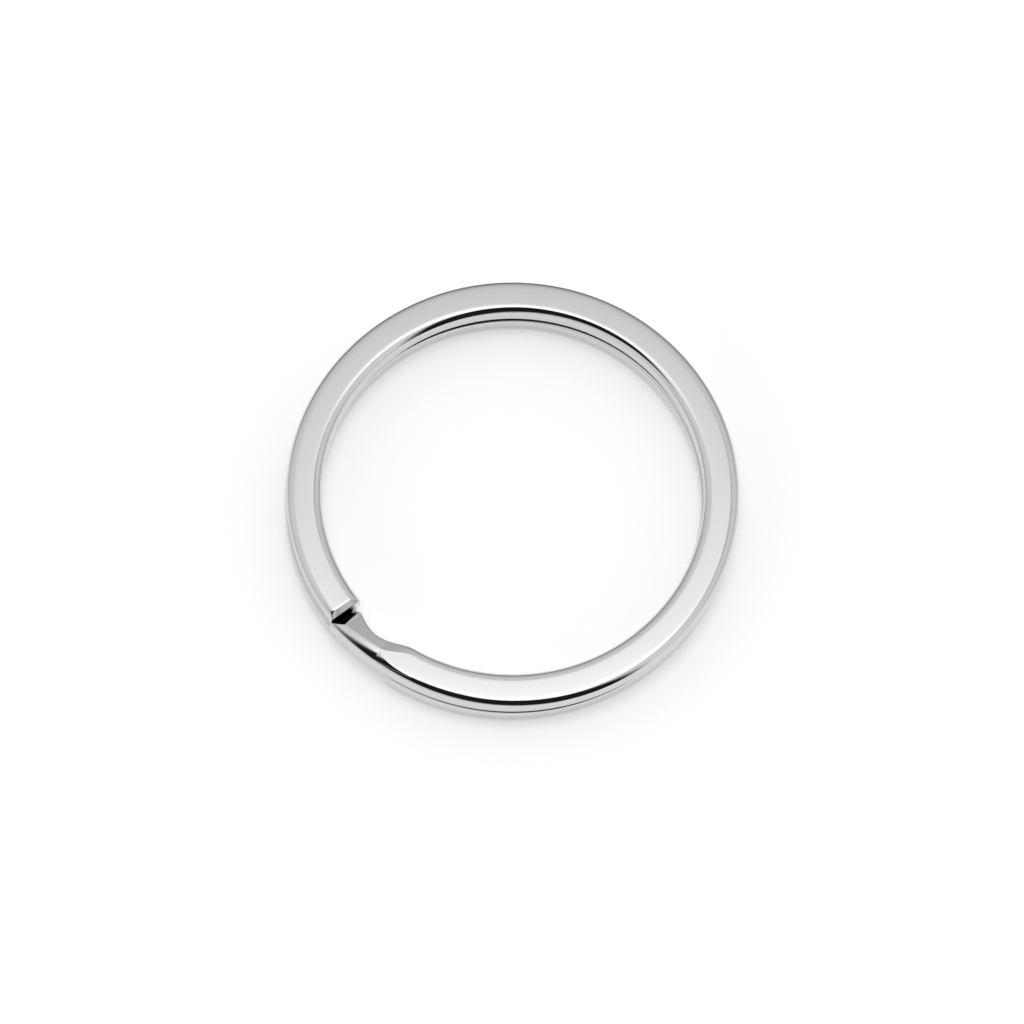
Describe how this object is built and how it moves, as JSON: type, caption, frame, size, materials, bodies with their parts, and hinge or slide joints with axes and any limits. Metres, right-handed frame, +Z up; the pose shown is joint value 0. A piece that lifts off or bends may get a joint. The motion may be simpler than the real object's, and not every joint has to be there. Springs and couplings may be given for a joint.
{
  "type": "split key ring",
  "caption": "Flat split ring of spring wire wound twice round, with a pressed step where its free ends pass, that holds keys and tags.",
  "frame": {"origin": "on the ring's axis, in the plane the ring lies on", "axes": "+Z up along the ring's axis; the step between the turns lies in the -X -Y quarter, and the front is -Y"},
  "size_m": [0.03, 0.03, 0.0031],
  "materials": {
    "nickel_steel": "bright nickel plate over spring steel, polished, with a very faint grain along the flat faces"
  },
  "bodies": {
    "root": {"split_ring": "nickel_steel"}
  },
  "joints": []
}
